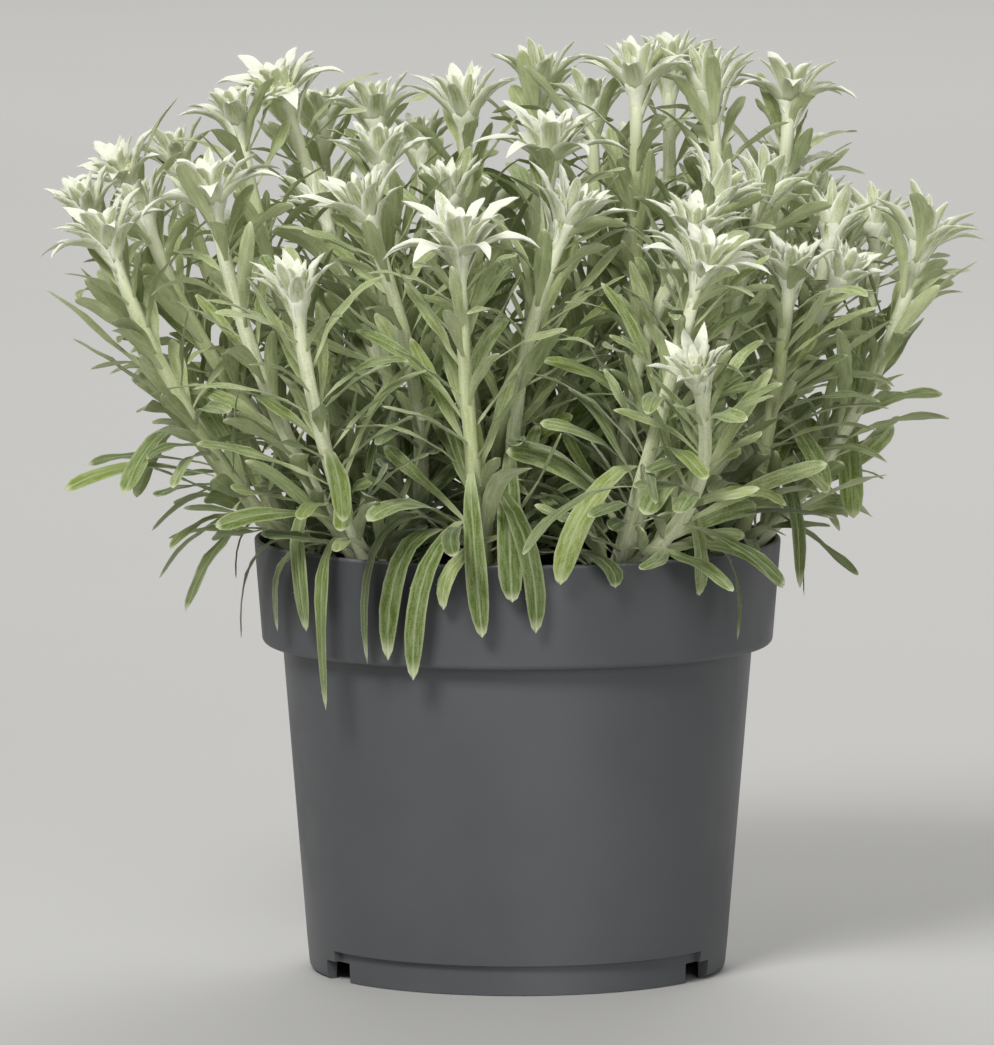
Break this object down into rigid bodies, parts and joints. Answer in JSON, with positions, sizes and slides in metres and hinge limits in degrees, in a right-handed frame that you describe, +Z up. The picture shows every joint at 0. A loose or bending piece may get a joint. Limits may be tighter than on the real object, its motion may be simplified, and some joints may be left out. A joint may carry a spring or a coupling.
{
  "type": "potted edelweiss",
  "caption": "Cushion of woolly-leaved edelweiss in full flower, standing in a round tapered nursery pot with a collar.",
  "frame": {"origin": "on the pot's axis, level with its foot", "axes": "+Z up along the pot's axis, -Y towards the plant's front, +X to its right seen from the front"},
  "size_m": [0.2139, 0.183, 0.2135],
  "materials": {
    "pot_plastic": "satin",
    "compost": "matte",
    "foliage": "matte",
    "bracts": "matte"
  },
  "bodies": {
    "root": {"pot": "pot_plastic", "soil": "compost", "clump_01": "foliage", "clump_02": "foliage", "clump_03": "foliage", "clump_04": "foliage", "clump_05": "foliage", "clump_06": "foliage", "clump_07": "foliage", "clump_08": "foliage", "clump_09": "foliage", "clump_10": "foliage", "clump_11": "foliage", "clump_12": "foliage", "flower_head_01": "bracts", "flower_head_02": "bracts", "flower_head_03": "bracts", "flower_head_04": "bracts", "flower_head_05": "bracts", "flower_head_06": "bracts", "flower_head_07": "bracts", "flower_head_08": "bracts", "flower_head_09": "bracts", "flower_head_10": "bracts", "flower_head_11": "bracts", "flower_head_12": "bracts", "flower_head_13": "bracts", "flower_head_14": "bracts", "flower_head_15": "bracts", "flower_head_16": "bracts", "flower_head_17": "bracts", "flower_head_18": "bracts", "flower_head_19": "bracts", "flower_head_20": "bracts", "flower_head_21": "bracts", "flower_head_22": "bracts", "flower_head_23": "bracts", "flower_head_24": "bracts", "flower_head_25": "bracts", "flower_head_26": "bracts", "flower_head_27": "bracts", "flower_head_28": "bracts", "flower_head_29": "bracts", "flower_head_30": "bracts", "flower_head_31": "bracts", "flower_head_32": "bracts", "flower_head_33": "bracts", "flower_head_34": "bracts", "flower_head_35": "bracts", "flower_head_36": "bracts", "flower_head_37": "bracts", "flower_head_38": "bracts", "flower_head_39": "bracts", "flower_head_40": "bracts", "flower_head_41": "bracts", "flower_head_42": "bracts", "flower_head_43": "bracts", "flower_head_44": "bracts", "flower_head_45": "bracts", "flower_head_46": "bracts"}
  },
  "joints": []
}
